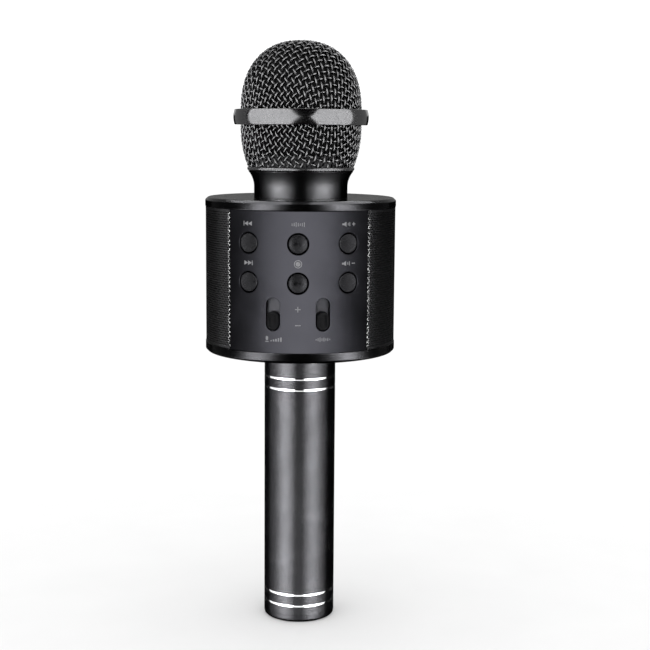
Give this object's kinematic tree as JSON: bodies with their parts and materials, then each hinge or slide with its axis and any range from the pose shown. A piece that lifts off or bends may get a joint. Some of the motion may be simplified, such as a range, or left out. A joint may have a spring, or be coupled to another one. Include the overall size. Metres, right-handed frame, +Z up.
{
  "type": "karaoke microphone",
  "caption": "Handheld wireless karaoke microphone: tube handle, round speaker drum with a control panel, and a screw-on woven ball grille.",
  "frame": {"origin": "centre of the handle's bottom face", "axes": "+Z up the handle towards the grille, the control panel faces -Y, +X is to the right of someone facing the panel"},
  "size_m": [0.08, 0.08, 0.2456],
  "materials": {
    "handle_metal": "satin black anodised tube",
    "cap_metal": "satin black",
    "bright_trim": "polished, diamond-cut",
    "inner_plastic": "moulded, matte",
    "battery_wrap": "shrink-wrapped cell",
    "spring_steel": "nickel plated wire",
    "contact_metal": "plated strip",
    "wire_jacket": "insulated wire",
    "gloss_shell": "piano black",
    "panel_metal": "satin blue-grey paint",
    "grille_metal": "black perforated sheet",
    "speaker_basket": "pressed steel",
    "speaker_paper": "coated paper",
    "magnet": "ferrite and steel",
    "button_metal": "turned finish, black",
    "knob_plastic": "smooth black",
    "circuit_board": "solder mask",
    "component_plastic": "moulded epoxy",
    "component_metal": "plain metal can",
    "socket_metal": "plated shell",
    "screw_steel": "blackened steel",
    "seal_rubber": "soft black rubber",
    "ring_metal": "dark polished",
    "woven_wire": "black-nickel woven wire",
    "band_metal": "gunmetal polish",
    "foam": "open-cell foam",
    "capsule_metal": "plated can"
  },
  "bodies": {
    "body": {"handle_tube": "handle_metal", "handle_end_cap": "cap_metal", "trim_ring_1": "bright_trim", "trim_ring_2": "bright_trim", "trim_ring_3": "bright_trim", "trim_ring_4": "bright_trim", "handle_socket": "inner_plastic", "battery_sleeve": "inner_plastic", "battery_cell": "battery_wrap", "battery_spring": "spring_steel", "battery_contact": "contact_metal", "battery_leads": "wire_jacket", "drum_bottom_cover": "gloss_shell", "drum_top_cover": "gloss_shell", "drum_chassis": "inner_plastic", "front_panel": "panel_metal", "rear_panel": "panel_metal", "left_grille": "grille_metal", "right_grille": "grille_metal", "left_speaker_frame": "speaker_basket", "left_speaker_cone": "speaker_paper", "left_speaker_magnet": "magnet", "right_speaker_frame": "speaker_basket", "right_speaker_cone": "speaker_paper", "right_speaker_magnet": "magnet", "button_board": "circuit_board", "tact_switches": "component_metal", "mic_volume_pot": "component_metal", "remix_pot": "component_metal", "main_board": "circuit_board", "board_chips": "component_plastic", "board_capacitors": "component_metal", "usb_port": "socket_metal", "charge_port": "socket_metal", "card_slot": "socket_metal", "aux_jack": "component_plastic", "power_switch_body": "component_metal", "cover_screws": "screw_steel", "neck_screws": "screw_steel", "speaker_screws": "screw_steel", "neck_collar": "gloss_shell", "capsule_holder": "inner_plastic", "capsule_mount": "seal_rubber", "mic_capsule": "capsule_metal", "capsule_cable": "wire_jacket"},
    "previous_button": {"previous_button": "button_metal"},
    "next_button": {"next_button": "button_metal"},
    "scan_button": {"scan_button": "button_metal"},
    "record_button": {"record_button": "button_metal"},
    "volume_up_button": {"volume_up_button": "button_metal"},
    "volume_down_button": {"volume_down_button": "button_metal"},
    "mic_volume_slider": {"mic_volume_slider": "knob_plastic"},
    "remix_slider": {"remix_slider": "knob_plastic"},
    "power_switch_knob": {"power_switch_knob": "knob_plastic"},
    "grille_seal": {"grille_seal": "seal_rubber"},
    "grille_head": {"grille_base_ring": "ring_metal", "lower_grille": "woven_wire", "grille_band": "band_metal", "upper_grille": "woven_wire", "foam_windscreen": "foam"}
  },
  "joints": [
    {"name": "previous_press", "type": "slide", "parent": "body", "child": "previous_button", "axis": [0.5, 0.866, 0], "range_m": [0, 0.0006], "stiffness_N_per_m": 500, "springref_m": -0.0006},
    {"name": "next_press", "type": "slide", "parent": "body", "child": "next_button", "axis": [0.5, 0.866, 0], "range_m": [0, 0.0006], "stiffness_N_per_m": 500, "springref_m": -0.0006},
    {"name": "scan_press", "type": "slide", "parent": "body", "child": "scan_button", "axis": [0, 1, 0], "range_m": [0, 0.0006], "stiffness_N_per_m": 500, "springref_m": -0.0006},
    {"name": "record_press", "type": "slide", "parent": "body", "child": "record_button", "axis": [0, 1, 0], "range_m": [0, 0.0006], "stiffness_N_per_m": 500, "springref_m": -0.0006},
    {"name": "volume_up_press", "type": "slide", "parent": "body", "child": "volume_up_button", "axis": [-0.5, 0.866, 0], "range_m": [0, 0.0006], "stiffness_N_per_m": 500, "springref_m": -0.0006},
    {"name": "volume_down_press", "type": "slide", "parent": "body", "child": "volume_down_button", "axis": [-0.5, 0.866, 0], "range_m": [0, 0.0006], "stiffness_N_per_m": 500, "springref_m": -0.0006},
    {"name": "mic_volume_slide", "type": "slide", "parent": "body", "child": "mic_volume_slider", "axis": [0, 0, 1], "range_m": [0, 0.0053]},
    {"name": "remix_slide", "type": "slide", "parent": "body", "child": "remix_slider", "axis": [0, 0, 1], "range_m": [0, 0.0053]},
    {"name": "power_switch_slide", "type": "slide", "parent": "body", "child": "power_switch_knob", "axis": [-1, 0, 0], "range_m": [0, 0.0026]},
    {"name": "grille_rise", "type": "slide", "parent": "body", "child": "grille_seal", "axis": [0, 0, 1], "range_m": [0, 0.0046]},
    {"name": "grille_turn", "type": "hinge", "parent": "grille_seal", "child": "grille_head", "pos_m": [0, 0, 0.193], "axis": [0, 0, 1], "range_deg": [0, 1080]}
  ],
  "couplings": [
    {"joint": "grille_rise", "follows": "grille_turn", "m_per_rad": 0.00023873}
  ]
}
